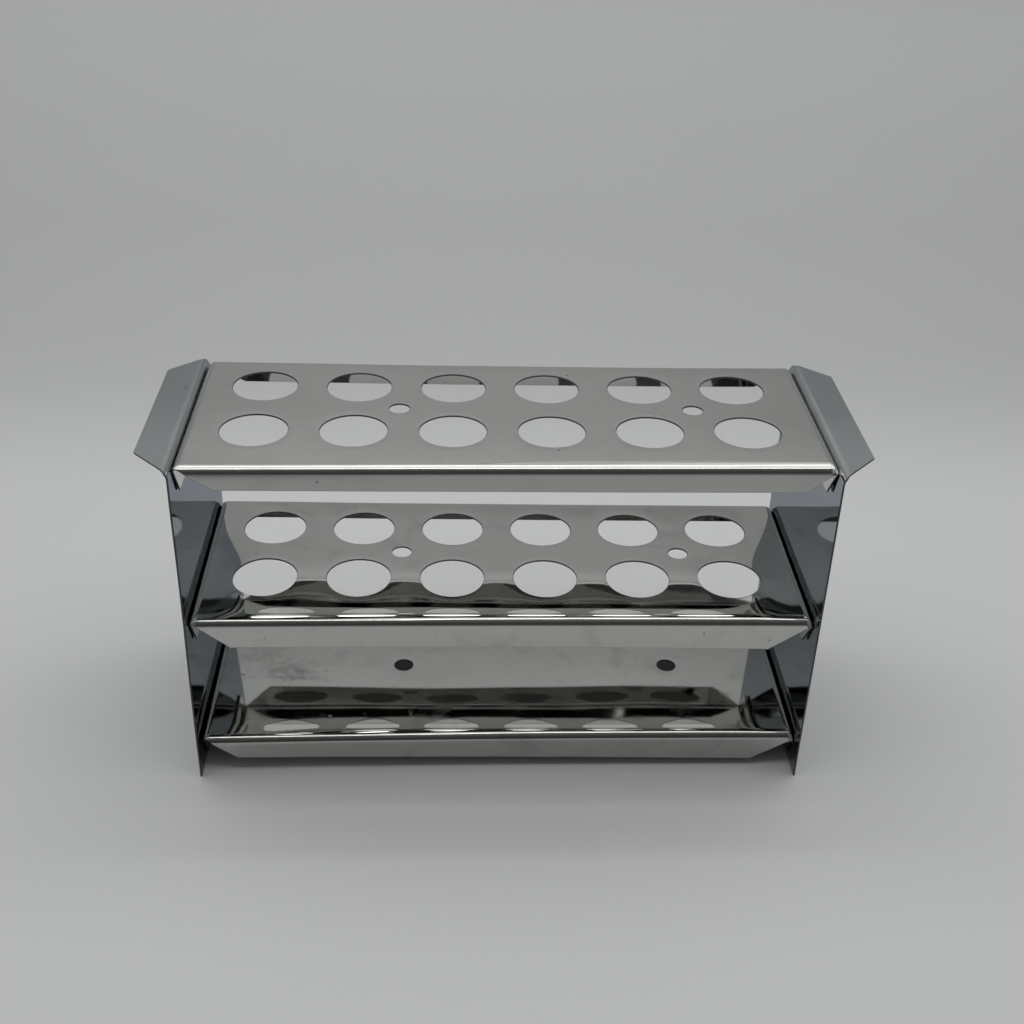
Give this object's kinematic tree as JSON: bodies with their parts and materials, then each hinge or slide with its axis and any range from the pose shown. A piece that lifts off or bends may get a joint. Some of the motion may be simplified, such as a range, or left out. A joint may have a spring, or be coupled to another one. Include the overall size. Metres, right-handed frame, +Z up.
{
  "type": "test tube rack",
  "caption": "Folded sheet-steel test tube rack: two pierced shelves and a plain bottom shelf between end plates whose tops turn out into handles.",
  "frame": {"origin": "middle of the footprint, on the table", "axes": "+X along the rack to the right, +Y to the back, +Z up"},
  "size_m": [0.2176, 0.0776, 0.1143],
  "materials": {
    "plate_steel": "bright polished stainless sheet, lightly smeared",
    "shelf_steel": "bright rolled stainless sheet with water stains and specks"
  },
  "bodies": {
    "root": {"left_end_plate": "plate_steel", "right_end_plate": "plate_steel", "top_shelf": "shelf_steel", "middle_shelf": "shelf_steel", "bottom_shelf": "shelf_steel"}
  },
  "joints": []
}
